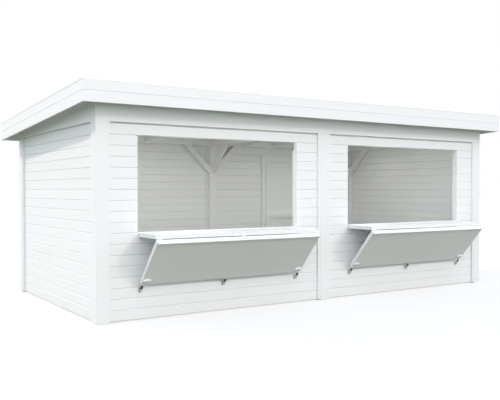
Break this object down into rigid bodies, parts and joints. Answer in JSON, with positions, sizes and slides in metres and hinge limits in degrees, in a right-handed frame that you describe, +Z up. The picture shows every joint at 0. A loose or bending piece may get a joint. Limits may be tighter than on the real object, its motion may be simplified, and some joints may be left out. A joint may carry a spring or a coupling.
{
  "type": "street kiosk",
  "caption": "Timber kiosk with a mono-pitch roof, two serving openings with folding counters, and a back door.",
  "frame": {"origin": "middle of the whole kiosk's footprint on the ground, open counters included", "axes": "+X along the front to the right as seen from the street, +Y from the front to the back, +Z up"},
  "size_m": [6.402, 3.5421, 2.4922],
  "materials": {
    "painted_post": "satin white paint",
    "painted_beam": "satin white paint",
    "painted_board": "satin white paint on boards",
    "painted_trim": "satin white paint",
    "painted_panel": "satin white paint on smooth panel",
    "painted_frame": "satin white paint",
    "painted_door": "satin white paint",
    "fascia_paint": "satin white paint",
    "white_metal": "satin white coating",
    "catch_metal": "dull zinc",
    "handle_metal": "satin",
    "deck_wood": "painted boards",
    "roof_sheet": "matt rubber membrane",
    "edge_trim": "satin"
  },
  "bodies": {
    "building": {"post_front_left": "painted_post", "post_front_middle": "painted_post", "post_front_right": "painted_post", "post_back_left": "painted_post", "post_back_middle": "painted_post", "post_back_right": "painted_post", "front_beam": "painted_beam", "back_beam": "painted_beam", "left_beam": "painted_beam", "right_beam": "painted_beam", "cross_beam": "painted_beam", "left_side_braces": "painted_beam", "right_side_braces": "painted_beam", "back_braces": "painted_beam", "cross_beam_braces": "painted_beam", "left_wall": "painted_board", "right_wall": "painted_board", "front_wall_left": "painted_board", "front_wall_right": "painted_board", "back_wall_left": "painted_board", "back_wall_beside_door_left": "painted_board", "back_wall_beside_door_right": "painted_board", "back_wall_over_door": "painted_board", "corner_battens": "painted_trim", "left_opening_frame": "painted_frame", "right_opening_frame": "painted_frame", "flap_catches": "catch_metal", "door_frame": "painted_frame", "roof_deck": "deck_wood", "roof_kerb": "deck_wood", "roof_covering": "roof_sheet", "front_fascia": "fascia_paint", "back_fascia": "fascia_paint", "left_fascia": "fascia_paint", "right_fascia": "fascia_paint", "rafters": "painted_beam", "roof_edge_trim": "edge_trim"},
    "left_counter": {"left_counter": "painted_panel"},
    "left_flap": {"left_flap": "painted_panel", "left_flap_handles": "white_metal"},
    "right_counter": {"right_counter": "painted_panel"},
    "right_flap": {"right_flap": "painted_panel", "right_flap_handles": "white_metal"},
    "door": {"door_leaf": "painted_door", "door_handle": "handle_metal"}
  },
  "joints": [
    {"name": "left_counter_hinge", "type": "hinge", "parent": "building", "child": "left_counter", "pos_m": [-1.47, -1.29929, 0.933], "axis": [-1, 0, 0], "range_deg": [0, 90]},
    {"name": "left_flap_hinge", "type": "hinge", "parent": "left_counter", "child": "left_flap", "pos_m": [-1.47, -1.73329, 0.888], "axis": [-1, 0, 0], "range_deg": [0, 131]},
    {"name": "right_counter_hinge", "type": "hinge", "parent": "building", "child": "right_counter", "pos_m": [1.47, -1.29929, 0.933], "axis": [-1, 0, 0], "range_deg": [0, 90]},
    {"name": "right_flap_hinge", "type": "hinge", "parent": "right_counter", "child": "right_flap", "pos_m": [1.47, -1.73329, 0.888], "axis": [-1, 0, 0], "range_deg": [0, 131]},
    {"name": "door_hinge", "type": "hinge", "parent": "building", "child": "door", "pos_m": [1.03, 1.55571, 1], "axis": [0, 0, 1], "range_deg": [0, 105]}
  ]
}
